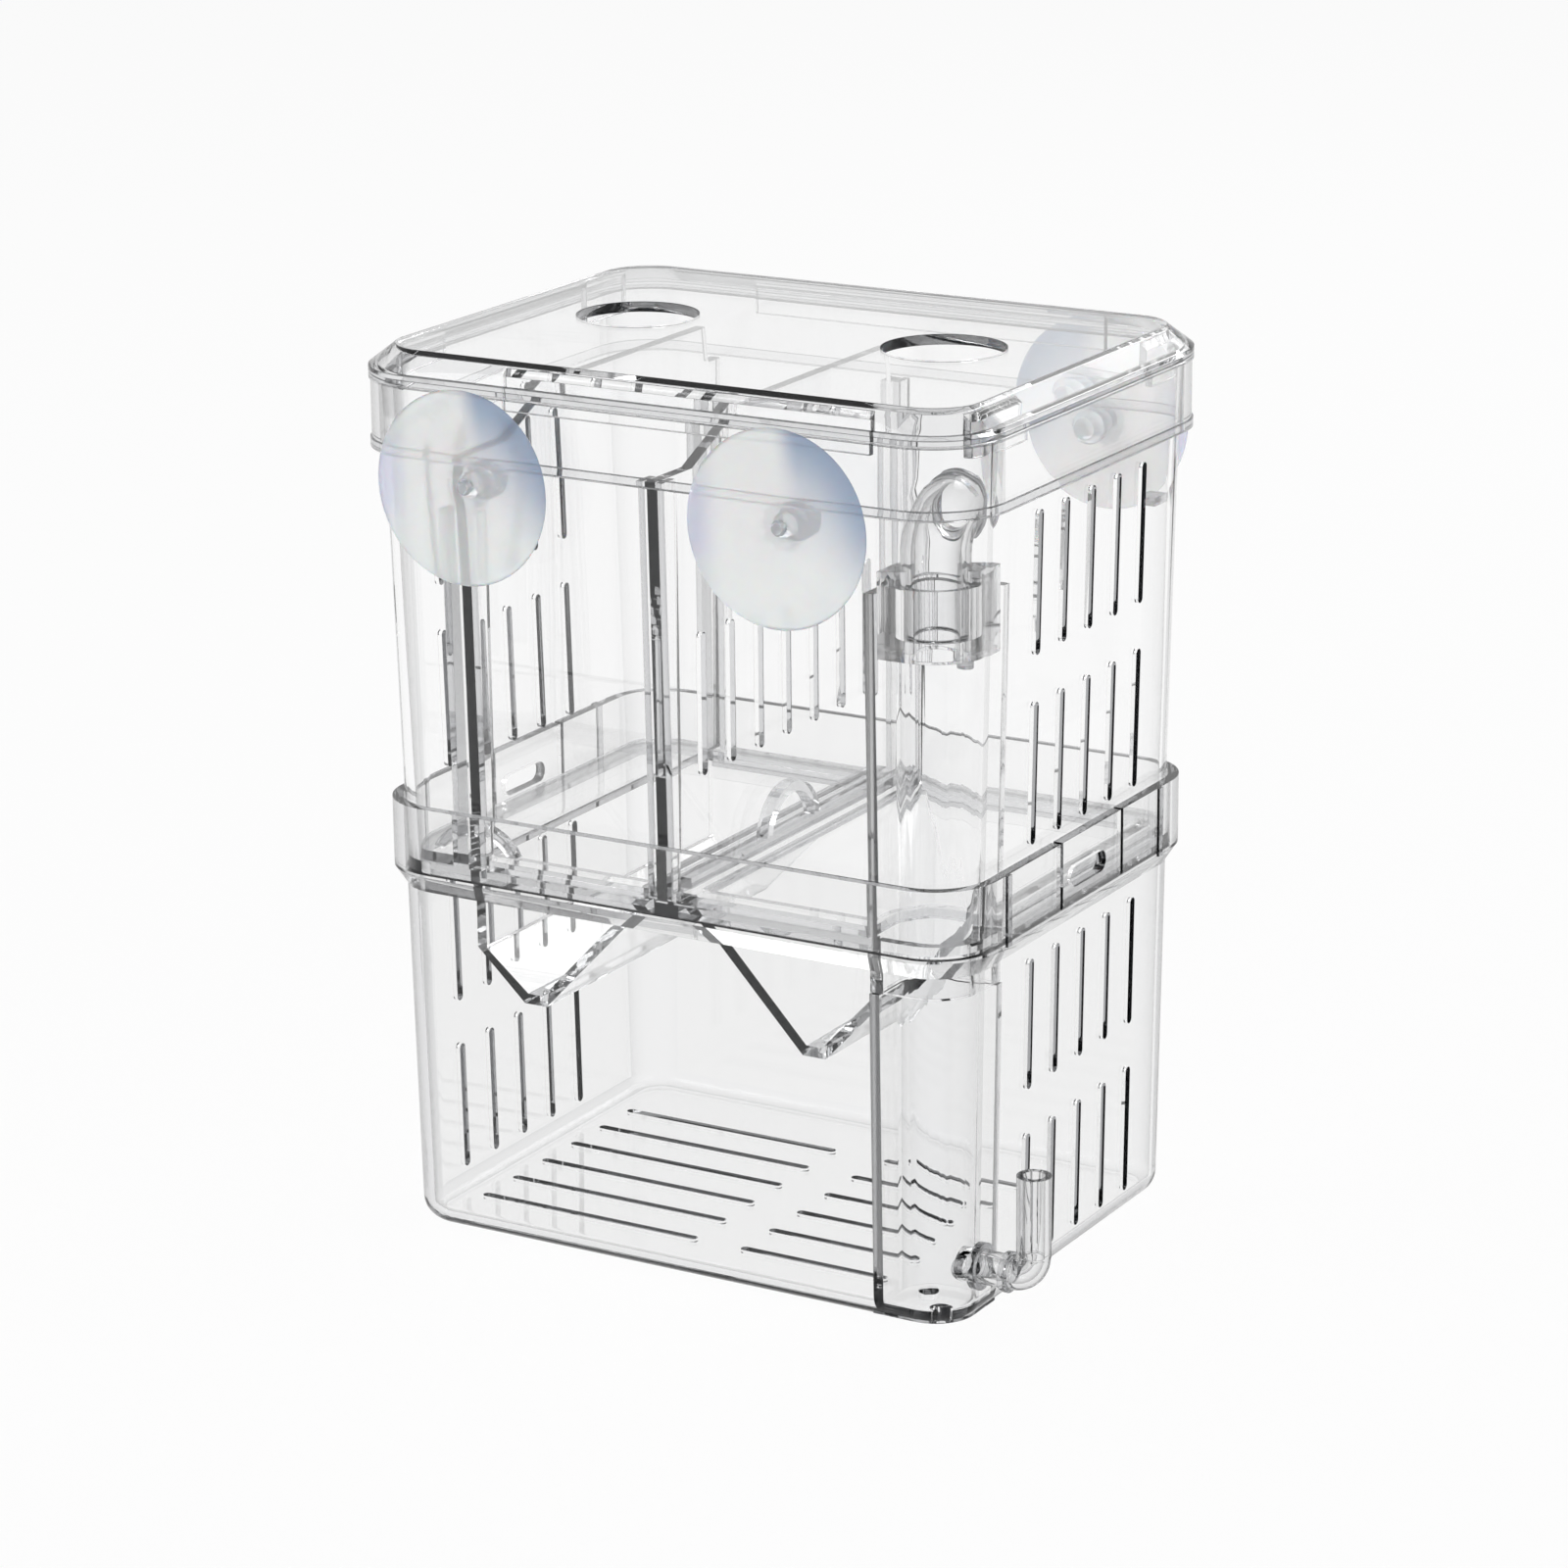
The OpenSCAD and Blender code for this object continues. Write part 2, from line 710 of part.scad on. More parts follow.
// A trough's section: the space under a bent line from the flange down to the flat bottom
module left_section(t) {
    top_x = left_in_x - trough_edge - t * top_in;
    polygon([[left_side_x + t, flange_top + 1], [left_side_x + t, flange_z - left_side_h],
             [left_apex_x - apex_w / 2 + t * foot_in, trough_z + t],
             [left_apex_x + apex_w / 2 - t * foot_in, trough_z + t],
             [top_x, flange_z], [top_x, flange_top + 1]]);
}

module right_section(t) {
    top_x = right_in_x + trough_edge + t * top_in;
    side_x = right_side_x - t * top_in;
    polygon([[top_x, flange_top + 1], [top_x, flange_z],
             [right_apex_x - apex_w / 2 + t * foot_in, trough_z + t],
             [right_apex_x + apex_w / 2 - t * foot_in, trough_z + t],
             [side_x, flange_z], [side_x, flange_top + 1]]);
}

module along_y(half) {
    rotate([90, 0, 0]) linear_extrude(2 * half, center = true) children();
}

// The room for a trough inside the ledge, with its rounded corners
module trough_room(inset) {
    r = trough_y - core_y - inset;
    block(0, far, r, r);
}

// Everything a tray has to keep clear of: the rails and the air column
module tray_notches(grow) {
    minus = tray_gap + grow;
    for (s = [0, 1]) mirror([0, s, 0]) {
        translate([divider_x - divider_t / 2 - divider_gap - rail_t - minus, trough_y, 0])
            cube([2 * (rail_t + divider_gap + minus) + divider_t, far, far]);
        translate([left_divider_x - divider_t / 2 - divider_gap - left_rail_t - minus, trough_y, 0])
            cube([left_rail_t + rail_t + 2 * (divider_gap + minus) + divider_t, far, far]);
    }
    column_prism(0, far, -minus);
}

// A flange with a trough below it. The children are the trough's outer and inner sections.
// Its ends are open, and the flange runs on over them.
module tray(from_x, to_x) {
    difference() {
        union() {
            intersection() {
                block(flange_z, flange_top, flange_r, flange_r);
                translate([from_x, -far, 0]) cube([to_x - from_x, 2 * far, far]);
            }
            intersection() {
                along_y(trough_y) children(0);
                trough_room(0);
                translate([0, 0, flange_top - far]) cube(2 * far, center = true);
            }
        }
        difference() {
            intersection() {
                along_y(trough_y - trough_t) children(1);
                trough_room(trough_t);
            }
            tray_notches(trough_t);
        }
        intersection() {
            along_y(far) children(1);
            translate([0, 0, flange_z - far]) cube(2 * far, center = true);
        }
        tray_notches(0);
    }
}

module slits(x) {
    slit_n = 4;
    bridge = 4;
    pitch = 2 * (trough_y - trough_t) / slit_n;
    for (y = slot_places(slit_n, pitch, 0))
        translate([x, y, trough_z - 1]) rotate(90) linear_extrude(trough_t + 2)
            long_hole(pitch - bridge, slit_w);
}

// Raised rib along a tray's inner edge, from x outwards
module edge_rib(x) {
    end_gap = 1;
    translate([x, end_gap - trough_y, flange_top - eps]) cube([rib_w, 2 * (trough_y - end_gap), rib_h]);
}

module left_tray() {
    color(clear_tint) {
        difference() {
            tray(-far, left_in_x) {
                left_section(0);
                left_section(trough_t);
            }
            slits(left_apex_x);
        }
        edge_rib(left_in_x - rib_w);
    }
}

// Half ring that stands on the right tray's rib, to lift the tray by
module handle() {
    handle_t = 2;
    handle_y = -2.7;
    sink = 1.5;
    intersection() {
        translate([right_in_x, handle_y, flange_top + rib_h - sink]) rotate([0, 90, 0])
            difference() {
                cylinder(h = rib_w, r = handle_r);
                translate([0, 0, -1]) cylinder(h = rib_w + 2, r = handle_r - handle_t);
            }
        translate([0, -far / 2, flange_top + rib_h - eps]) cube(far);
    }
}

module right_tray() {
    color(clear_tint) {
        difference() {
            tray(right_in_x, far) {
                right_section(0);
                right_section(trough_t);
            }
            slits(right_apex_x);
        }
        edge_rib(right_in_x);
        handle();
    }
}

// A divider's outline, seen along X: wider at the top, with low front and back corners
module divider_outline(z0) {
    low_z = rail_top;
    high_z = rail_top + divider_rise;
    y0 = core_y + box_r(z0) - wall - tray_gap;
    y1 = core_y + box_r(low_z) - wall - tray_gap;
    back_w = 4.4;
    back_slope = 1;
    back_y = y1 - back_w;
    polygon([[-y0, z0], [y0, z0], [y1, low_z], [back_y, low_z], [back_y - back_slope, high_z],
             [high_from_y, high_z], [low_from_y, low_z], [-y1, low_z]]);
}

module divider_plate(x, z0) {
    translate([x, 0, 0]) rotate([90, 0, 90]) linear_extrude(divider_t, center = true)
        divider_outline(z0);
}

module centre_divider() {
    middle_y = 1.1;
    color(clear_tint) difference() {
        divider_plate(divider_x, ledge_z + seat_gap);
        for (y = slot_places(divider_slot_n, slot_pitch, middle_y))
            upright_slot(divider_x, y, ledge_z + divider_slot_z, divider_slot_h);
    }
}

module left_divider() {
    z0 = flange_top + seat_gap;
    foot_r = 10.5;
    foot_t = 2;
    foot_drop = 5;
    foot_w = 2.2;
    foot_x = left_divider_x - 2;
    foot_y = 0.2 - trough_y;
    color(clear_tint) {
        divider_plate(left_divider_x, z0);
        intersection() {
            translate([foot_x, foot_y + foot_w, z0 - foot_drop]) rotate([90, 0, 0])
                difference() {
                    cylinder(h = foot_w, r = foot_r);
                    translate([0, 0, -1]) cylinder(h = foot_w + 2, r = foot_r - foot_t);
                }
            translate([-far, -far, z0]) cube([2 * far, 2 * far, far]);
        }
    }
}

// A suction cup's half section: first number is the radius, second the height from the wall's
// inner face, out along the axis. The head is inside the wall, and the neck carries the dish
// clear of the lid's band.
module cup_section() {
    band_gap = 0.55;
    head_h = 3.6;
    hub_r = head_r + 1;
    nub_r = 1.5;
    stem_r = 0.75 * nub_r;
    back = wall + band_r - box_r(cup_z) + band_gap;
    front = back + cup_t;
    rim = back + cup_depth;
    polygon([[0, -head_h], [head_r * 0.62, 0.3 - head_h], [head_r, 2.2 - head_h],
             [head_r, -rest_gap], [neck_r, -rest_gap],
             [neck_r, back - 0.6], [hub_r, back], [hub_r + 1.6, back + 0.35],
             [cup_r - 0.3, rim - 0.5], [cup_r, rim], [cup_r - 1.2, rim - 0.25],
             [hub_r + 1, back + 0.45 + cup_t * 0.75], [nub_r + 1.2, front],
             [stem_r, front + 0.3], [stem_r, rim - 1.2],
             [nub_r, rim - 0.8], [nub_r * 0.7, rim - 0.1], [0, rim]]);
}

module cup(x, back_side) {
    wall_y = core_y + box_r(cup_z) - wall;
    color(milky) mirror([0, back_side, 0]) translate([x, -wall_y, cup_z]) rotate([90, 0, 0])
        rotate_extrude() cup_section();
}

module front_cup_left() {
    cup(front_cup_left_x, 0);
}

module front_cup_right() {
    cup(front_cup_right_x, 0);
}

module back_cup() {
    cup(back_cup_x, 1);
}

lower_tank();
upper_box();
lid();
column_plug();
outlet_elbow();
air_inlet_elbow();
left_tray();
right_tray();
centre_divider();
left_divider();
front_cup_left();
front_cup_right();
back_cup();
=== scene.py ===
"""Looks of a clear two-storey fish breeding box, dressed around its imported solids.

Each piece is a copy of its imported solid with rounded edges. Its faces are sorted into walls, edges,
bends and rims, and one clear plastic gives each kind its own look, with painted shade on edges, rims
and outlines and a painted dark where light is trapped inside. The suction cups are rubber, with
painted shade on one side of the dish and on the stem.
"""

import json
import logging
import math
from dataclasses import dataclass
from enum import Enum, IntEnum

import bmesh
import bpy
from mathutils import Matrix, Vector

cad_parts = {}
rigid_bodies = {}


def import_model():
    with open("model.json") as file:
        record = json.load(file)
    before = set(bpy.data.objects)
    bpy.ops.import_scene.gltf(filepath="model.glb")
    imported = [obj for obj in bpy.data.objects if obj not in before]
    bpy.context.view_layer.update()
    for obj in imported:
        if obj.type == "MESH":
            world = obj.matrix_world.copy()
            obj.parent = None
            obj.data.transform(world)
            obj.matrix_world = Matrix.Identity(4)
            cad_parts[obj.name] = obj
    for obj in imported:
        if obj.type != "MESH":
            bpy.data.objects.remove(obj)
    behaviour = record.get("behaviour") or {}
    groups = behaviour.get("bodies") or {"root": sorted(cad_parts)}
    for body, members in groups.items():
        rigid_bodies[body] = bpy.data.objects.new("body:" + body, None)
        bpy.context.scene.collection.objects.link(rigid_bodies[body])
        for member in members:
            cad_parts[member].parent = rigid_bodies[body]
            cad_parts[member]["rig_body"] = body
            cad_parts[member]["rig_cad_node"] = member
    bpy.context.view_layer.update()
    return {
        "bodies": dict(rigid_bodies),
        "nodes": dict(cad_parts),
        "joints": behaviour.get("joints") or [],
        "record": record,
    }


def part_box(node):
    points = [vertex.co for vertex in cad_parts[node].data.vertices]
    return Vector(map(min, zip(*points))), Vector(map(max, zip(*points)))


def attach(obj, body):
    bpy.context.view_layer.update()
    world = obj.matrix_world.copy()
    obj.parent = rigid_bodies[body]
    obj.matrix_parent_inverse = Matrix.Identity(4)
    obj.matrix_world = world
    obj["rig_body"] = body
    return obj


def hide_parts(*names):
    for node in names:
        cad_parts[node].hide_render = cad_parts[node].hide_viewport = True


log = logging.getLogger("breeding_box")

Colour = tuple[float, float, float]
Span = tuple[float, float]
Tree = bpy.types.NodeTree
Socket = bpy.types.NodeSocket

MM = 0.001

# Which faces of a moulding count as edges and bends
EDGE_WIDTH = 2.7 * MM
BEND_WIDTH = 1.6 * MM
SMOOTH_TURN = math.cos(math.radians(22))
FLAT_TURN = 0.9999

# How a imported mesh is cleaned, rounded and shaded
MERGE_DISTANCE = 0.002 * MM
FLATTEN_ANGLE = math.radians(0.3)
ROUNDED_ANGLE = math.radians(32)
ROUNDED_STEPS = 2
ROUNDED_EDGE = 0.25 * MM
SHADED_ANGLE = math.radians(30)
LARGE_FACES_LEAD = 100

# Zones of a suction cup, from its axis and from its rim: its stem and nub, which take a painted shade
STEM_REACH = 4.7 * MM
NUB_REACH = 1.7 * MM
DISH_DEPTH = 3.0 * MM

# Way through the plastic over which a painted dark shade comes in, for light trapped in the walls
TRAPPED_SHADE_WAY = (3.6 * MM, 8.5 * MM)

PLASTIC_INDEX = 1.42
EVEN_FACING = 0.5
FACE_KIND = "face_kind"
DISH_MAP = "dish"


class Slot(Enum):
    """The record's material slots, one for the clear plastic and one for the rubber."""

    CLEAR = "clear_plastic"
    RUBBER = "milky_rubber"


class FaceKind(IntEnum):
    """The kinds of face that a finish tells apart."""

    WALL = 0
    EDGE = 1
    BEND = 2
    RIM = 3


# ---------------------------------------------------------------- node helpers


def link(tree: Tree, source: Socket, target: Socket) -> None:
    """Joins two sockets of a node tree.

    Args:
        tree: the tree that holds both sockets.
        source: the output socket.
        target: the input socket.
    """
    tree.links.new(source, target)


def feed(tree: Tree, socket: Socket, value: object) -> None:
    """Feeds an input with a socket, a colour or a number.

    Args:
        tree: the tree that holds the input.
        socket: the input socket.
        value: an output socket, a colour or a number.
    """
    if isinstance(value, Socket):
        link(tree, value, socket)
    elif isinstance(value, tuple):
        socket.default_value = (*value, 1.0)
    else:
        socket.default_value = value


def make_group(name: str, inputs: dict[str, float | None], outputs: tuple[str, ...]) -> Tree:
    """Starts a shader node group with named inputs and number outputs.

    Args:
        name: the group's name.
        inputs: each input with its default number, or None where it is a vector.
        outputs: the names of the outputs.

    Returns:
        The group, which holds its input and output nodes.
    """
    group = bpy.data.node_groups.new(name, "ShaderNodeTree")
    for key, value in inputs.items():
        kind = "NodeSocketVector" if value is None else "NodeSocketFloat"
        socket = group.interface.new_socket(name=key, in_out="INPUT", socket_type=kind)
        if value is not None:
            socket.default_value = value
    for key in outputs:
        group.interface.new_socket(name=key, in_out="OUTPUT", socket_type="NodeSocketFloat")
    group.nodes.new("NodeGroupInput").name = "in"
    group.nodes.new("NodeGroupOutput").name = "out"
    return group


def math_node(tree: Tree, operation: str, *values: object) -> Socket:
    """Adds a Math node and feeds it numbers or sockets.

    Args:
        tree: the tree to add to.
        operation: the node's operation.
        values: numbers, or output sockets, in the order of the inputs.

    Returns:
        The node's output.
    """
    node = tree.nodes.new("ShaderNodeMath")
    node.operation = operation
    for socket, value in zip(node.inputs, values):
        feed(tree, socket, value)
    return node.outputs[0]


def blend_colours(tree: Tree, factor: Socket, low: object, high: object) -> Socket:
    """Adds a colour mix.

    Args:
        tree: the tree to add to.
        factor: the share of the second colour.
        low: the first colour, or the socket that gives it.
        high: the second colour, or the socket that gives it.

    Returns:
        The mixed colour.
    """
    node = tree.nodes.new("ShaderNodeMix")
    node.data_type = "RGBA"
    link(tree, factor, node.inputs["Factor"])
    first, second = (socket for socket in node.inputs if socket.type == "RGBA")
    feed(tree, first, low)
    feed(tree, second, high)
    return next(socket for socket in node.outputs if socket.type == "RGBA")


def blend_shaders(tree: Tree, factor: Socket, low: Socket, high: Socket) -> Socket:
    """Adds a shader mix.

    Args:
        tree: the tree to add to.
        factor: the share of the second shader.
        low: the first shader.
        high: the second shader.

    Returns:
        The mixed shader.
    """
    node = tree.nodes.new("ShaderNodeMixShader")
    for socket, value in zip(node.inputs, (factor, low, high)):
        link(tree, value, socket)
    return node.outputs["Shader"]


def ramp(tree: Tree, value: Socket, span: Span) -> Socket:
    """Adds a smooth step.

    Args:
        tree: the tree to add to.
        value: what the step follows.
        span: where the step gives 0, and where it gives 1.

    Returns:
        The step, from 0 to 1.
    """
    node = tree.nodes.new("ShaderNodeMapRange")
    node.interpolation_type = "SMOOTHSTEP"
    node.inputs["From Min"].default_value, node.inputs["From Max"].default_value = span
    link(tree, value, node.inputs["Value"])
    return node.outputs["Result"]


def seen_rays(tree: Tree) -> Socket:
    """Adds a mask of the rays that show the backdrop: straight, mirrored or through plastic.

    Args:
        tree: the tree to add to.

    Returns:
        The mask.
    """
    path = tree.nodes.new("ShaderNodeLightPath")
    camera, glossy = path.outputs["Is Camera Ray"], path.outputs["Is Glossy Ray"]
    seen = math_node(tree, "MAXIMUM", camera, glossy)
    return math_node(tree, "MAXIMUM", seen, path.outputs["Is Transmission Ray"])


# ---------------------------------------------------------------- node groups


def add_noise(tree: Tree, place: Socket, scale: Socket, detail: float) -> Socket:
    """Adds a noise texture.

    Args:
        tree: the tree to add to.
        place: where on the piece the noise is read.
        scale: how fine it is.
        detail: how many finer layers it has.

    Returns:
        The noise, from 0 to 1.
    """
    node = tree.nodes.new("ShaderNodeTexNoise")
    node.inputs["Detail"].default_value = detail
    link(tree, place, node.inputs["Vector"])
    link(tree, scale, node.inputs["Scale"])
    return node.outputs["Fac"]


def mould_ripple_group() -> Tree:
    """Builds the group that gives a moulded surface its slight waviness and uneven polish.

    Returns:
        The group, with a Height and a Roughness output.
    """
    name = "mould_ripple"
    if name in bpy.data.node_groups:
        return bpy.data.node_groups[name]
    inputs = {
        "Wave Scale": 60.0,
        "Grain Scale": 900.0,
        "Grain Share": 0.1,
        "Polish": 0.03,
        "Polish Change": 0.02,
    }
    group = make_group(name, inputs, ("Height", "Roughness"))
    given = group.nodes["in"].outputs
    wanted = group.nodes["out"].inputs
    place = group.nodes.new("ShaderNodeTexCoord").outputs["Object"]
    waves = add_noise(group, place, given["Wave Scale"], 1.0)
    grain = add_noise(group, place, given["Grain Scale"], 2.0)
    fine = math_node(group, "MULTIPLY", grain, given["Grain Share"])
    link(group, math_node(group, "ADD", waves, fine), wanted["Height"])
    change = math_node(group, "MULTIPLY", waves, given["Polish Change"])
    link(group, math_node(group, "ADD", change, given["Polish"]), wanted["Roughness"])
    return group


def add_ripple(
    tree: Tree, shader: bpy.types.Node, polish: float, change: float, depth: float
) -> None:
    """Gives a shader the moulded surface's polish and waviness.

    Args:
        tree: the tree that holds the shader.
        shader: the shader's node.
        polish: the lowest roughness.
        change: how much rougher the surface gets in places.
        depth: the height of the waves in metres.
    """
    ripple = tree.nodes.new("ShaderNodeGroup")
    ripple.node_tree = mould_ripple_group()
    ripple.inputs["Polish"].default_value = polish
    ripple.inputs["Polish Change"].default_value = change
    link(tree, ripple.outputs["Roughness"], shader.inputs["Roughness"])
    bump = tree.nodes.new("ShaderNodeBump")
    bump.inputs["Distance"].default_value = depth
    link(tree, ripple.outputs["Height"], bump.inputs["Height"])
    link(tree, bump.outputs["Normal"], shader.inputs["Normal"])


@dataclass(frozen=True)
class DishBlueShadeAndLilac:
    """Where a cup's painted steel-blue shade and its lilac patch lie on its dish, which runs from 0
    to 1 both ways.
    """

    middle: float = 0.5
    blue_across: Span = (0.46, 0.62)
    blue_height: Span = (0.6, 1.15)
    blue_lean: float = 0.5
    blue_spread: Span = (0.0, 0.24)
    blue_inside: float = 0.4
    lilac_across: Span = (0.2, 0.02)
    lilac_height: Span = (0.32, 0.1)
    lilac_strength: float = 0.7

    def group(self) -> Tree:
        """Builds the group once.

        Returns:
            The group, with a Place input, a Blue mask of painted shade and a Lilac mask.
        """
        name = "dish_tint"
        if name in bpy.data.node_groups:
            return bpy.data.node_groups[name]
        group = make_group(name, {"Place": None}, ("Blue", "Lilac"))
        wanted = group.nodes["out"].inputs
        split = group.nodes.new("ShaderNodeSeparateXYZ")
        link(group, group.nodes["in"].outputs["Place"], split.inputs["Vector"])
        across, up = split.outputs["X"], split.outputs["Y"]
        away_x = math_node(group, "SUBTRACT", across, self.middle)
        away_y = math_node(group, "SUBTRACT", up, self.middle)

        # The steel-blue mask is painted shade: it covers the upper right of the dish and grows away
        # from its middle.
        lean = math_node(group, "MULTIPLY", across, self.blue_lean)
        height = ramp(group, math_node(group, "ADD", up, lean), self.blue_height)
        side = ramp(group, across, self.blue_across)
        blue = math_node(group, "MULTIPLY", side, height)
        square_x = math_node(group, "MULTIPLY", away_x, away_x)
        square_y = math_node(group, "MULTIPLY", away_y, away_y)
        spread = ramp(group, math_node(group, "ADD", square_x, square_y), self.blue_spread)
        outward = math_node(group, "MULTIPLY", spread, 1.0 - self.blue_inside)
        outward = math_node(group, "ADD", outward, self.blue_inside)
        link(group, math_node(group, "MULTIPLY", blue, outward), wanted["Blue"])

        beside = ramp(group, across, self.lilac_across)
        level = ramp(group, math_node(group, "ABSOLUTE", away_y), self.lilac_height)
        lilac = math_node(group, "MULTIPLY", beside, level)
        link(group, math_node(group, "MULTIPLY", lilac, self.lilac_strength), wanted["Lilac"])
        return group


# ---------------------------------------------------------------- finishes


@dataclass(frozen=True)
class FaceLook:
    """How one kind of face is coloured: its tint straight on, a painted shade that darkens it towards
    its outline, and a greyer tint on its reflections as painted shade.
    """

    tint: Colour
    # painted shade towards the outline, and how close to the outline it starts
    outline_shade_tint: Colour
    outline_shade_power: float
    # greyer reflections, a painted shade
    reflection_shade_tint: Colour

    def colour(self, tree: Tree, facing: Socket) -> Socket:
        """Adds the nodes that turn the viewing angle into a colour, darkened towards the outline as
        painted shade.

        Args:
            tree: the tree to add to.
            facing: 0 where the face is seen straight on, 1 at its outline.

        Returns:
            The colour.
        """
        outline_shade = math_node(tree, "POWER", facing, self.outline_shade_power)
        return blend_colours(tree, outline_shade, self.tint, self.outline_shade_tint)


@dataclass(frozen=True)
class ClearPlastic:
    """Clear moulded plastic: flat walls, thin edges that trap light, round bends and soft rims, with
    edges and rims painted as dark lines of shade and a painted dark where light is trapped.
    """

    name: str = "clear_moulding"
    # walls stay clear straight on and take a near-black painted shade right at their outline
    wall: FaceLook = FaceLook((0.997, 0.997, 0.997), (0.08, 0.09, 0.1), 8.0, (0.7, 0.702, 0.708))
    # edges are painted as grey lines of shade, darker still towards their outline
    edge: FaceLook = FaceLook((0.5, 0.504, 0.514), (0.2, 0.205, 0.215), 1.5, (0.3, 0.302, 0.306))
    # bends take a painted shade that turns near black towards their outline
    bend: FaceLook = FaceLook(
        (0.975, 0.976, 0.978), (0.003, 0.0031, 0.0033), 2.0, (0.2, 0.202, 0.205)
    )
    # rims, the rounded faces along the edges, are painted as near-black lines of shade
    rim: FaceLook = FaceLook(
        (0.16, 0.162, 0.166), (0.05, 0.0513, 0.054), 1.0, (0.35, 0.352, 0.356)
    )
    polish: float = 0.0
    polish_change: float = 0.004
    wave_depth: float = 0.0005 * MM
    body_tint: Colour = (0.5, 0.505, 0.515)
    body_density: float = 8.0
    # how much painted dark shade, and of what colour, stands in for light trapped inside
    trapped_shade_share: float = 0.48
    trapped_shade_tint: Colour = (0.02, 0.021, 0.023)
    lamp_light: float = 0.97

    def material(self) -> bpy.types.Material:
        """Builds the material once.

        Returns:
            The material.
        """
        if self.name in bpy.data.materials:
            return bpy.data.materials[self.name]
        material = bpy.data.materials.new(self.name)
        material.use_nodes = True
        tree = material.node_tree
        tree.nodes.clear()
        output = tree.nodes.new("ShaderNodeOutputMaterial")
        path = tree.nodes.new("ShaderNodeLightPath")
        glass = self.glass(tree)
        glass = self.add_trapped_shade(tree, glass, path.outputs["Ray Length"])
        glass = self.lit_through(tree, glass, path.outputs["Is Shadow Ray"])
        link(tree, glass, output.inputs["Surface"])
        body = tree.nodes.new("ShaderNodeVolumeAbsorption")
        feed(tree, body.inputs["Color"], self.body_tint)
        body.inputs["Density"].default_value = self.body_density
        link(tree, body.outputs["Volume"], output.inputs["Volume"])
        return material

    def glass(self, tree: Tree) -> Socket:
        """Adds the glass, tinted by the kind of face, with painted shade on edges, bends, rims and
        outlines.

        Args:
            tree: the material's tree.

        Returns:
            The shader.
        """
        glass = tree.nodes.new("ShaderNodeBsdfPrincipled")
        glass.inputs["Transmission Weight"].default_value = 1.0
        glass.inputs["IOR"].default_value = PLASTIC_INDEX
        layer = tree.nodes.new("ShaderNodeLayerWeight")
        layer.inputs["Blend"].default_value = EVEN_FACING
        facing = layer.outputs["Facing"]
        kind = tree.nodes.new("ShaderNodeAttribute")
        kind.attribute_name = FACE_KIND
        colour: object = self.wall.colour(tree, facing)
        # the reflections are greyed by kind of face, as painted shade
        reflection_shade: object = self.wall.reflection_shade_tint
        for number, look in (
            (FaceKind.EDGE, self.edge),
            (FaceKind.BEND, self.bend),
            (FaceKind.RIM, self.rim),
        ):
            mask = math_node(tree, "COMPARE", kind.outputs["Fac"], int(number), 0.5)
            colour = blend_colours(tree, mask, colour, look.colour(tree, facing))
            reflection_shade = blend_colours(tree, mask, reflection_shade, look.reflection_shade_tint)
        link(tree, colour, glass.inputs["Base Color"])
        link(tree, reflection_shade, glass.inputs["Specular Tint"])
        add_ripple(tree, glass, self.polish, self.polish_change, self.wave_depth)
        return glass.outputs["BSDF"]

    def add_trapped_shade(self, tree: Tree, shader: Socket, way: Socket) -> Socket:
        """Paints a dark shade where a ray has come a long way inside the plastic, for light trapped
        there.

        Args:
            tree: the material's tree.
            shader: the shader to darken.
            way: how far the ray has come.

        Returns:
            The shader.
        """
        side = tree.nodes.new("ShaderNodeNewGeometry")
        trapped = ramp(tree, way, TRAPPED_SHADE_WAY)
        trapped = math_node(tree, "MULTIPLY", trapped, side.outputs["Backfacing"])
        trapped = math_node(tree, "MULTIPLY", trapped, self.trapped_shade_share)
        # a near-black surface, painted shade for light trapped inside
        dark = tree.nodes.new("ShaderNodeBsdfDiffuse")
        feed(tree, dark.inputs["Color"], self.trapped_shade_tint)
        return blend_shaders(tree, trapped, shader, dark.outputs["BSDF"])

    def lit_through(self, tree: Tree, shader: Socket, shadow: Socket) -> Socket:
        """Lets the lamps' light through, so that the plastic throws only a faint shadow.

        Args:
            tree: the material's tree.
            shader: the shader that is seen.
            shadow: 1 for the rays that look for a lamp.

        Returns:
            The shader.
        """
        clear = tree.nodes.new("ShaderNodeBsdfTransparent")
        feed(tree, clear.inputs["Color"], (self.lamp_light,) * 3)
        return blend_shaders(tree, shadow, shader, clear.outputs["BSDF"])


BOX_PLASTIC = ClearPlastic()

# A shade greyer than the box's
TANK_PLASTIC = ClearPlastic(
    name="tank_moulding",
    wall=FaceLook((0.975, 0.975, 0.974), (0.08, 0.09, 0.1), 8.0, (0.7, 0.702, 0.708)),
    body_density=34.0,
    trapped_shade_share=0.3,
)

# Trays and dividers, whose cut edges and rims take a lighter painted shade than the box's
SHEET_PLASTIC = ClearPlastic(
    name="sheet_moulding",
    edge=FaceLook((0.8, 0.804, 0.812), (0.4, 0.405, 0.415), 1.5, (0.5, 0.502, 0.506)),
    rim=FaceLook((0.3, 0.303, 0.31), (0.1, 0.102, 0.107), 1.0, (0.5, 0.502, 0.506)),
    trapped_shade_share=0.12,
)

# The lid, whose edges, the feeding holes' thin grey rims among them, take a lighter painted shade
COVER_PLASTIC = ClearPlastic(
    name="cover_moulding",
    edge=FaceLook((0.8, 0.804, 0.812), (0.35, 0.355, 0.365), 1.5, (0.5, 0.502, 0.506)),
    trapped_shade_share=0.25,
)

# The elbows, with a painted shade that turns dark towards the outline of their tube
TUBE_PLASTIC = ClearPlastic(
    name="tube_moulding",
    bend=FaceLook((0.965, 0.966, 0.968), (0.002, 0.0021, 0.0023), 1.35, (0.2, 0.202, 0.205)),
    trapped_shade_share=0.7,
)


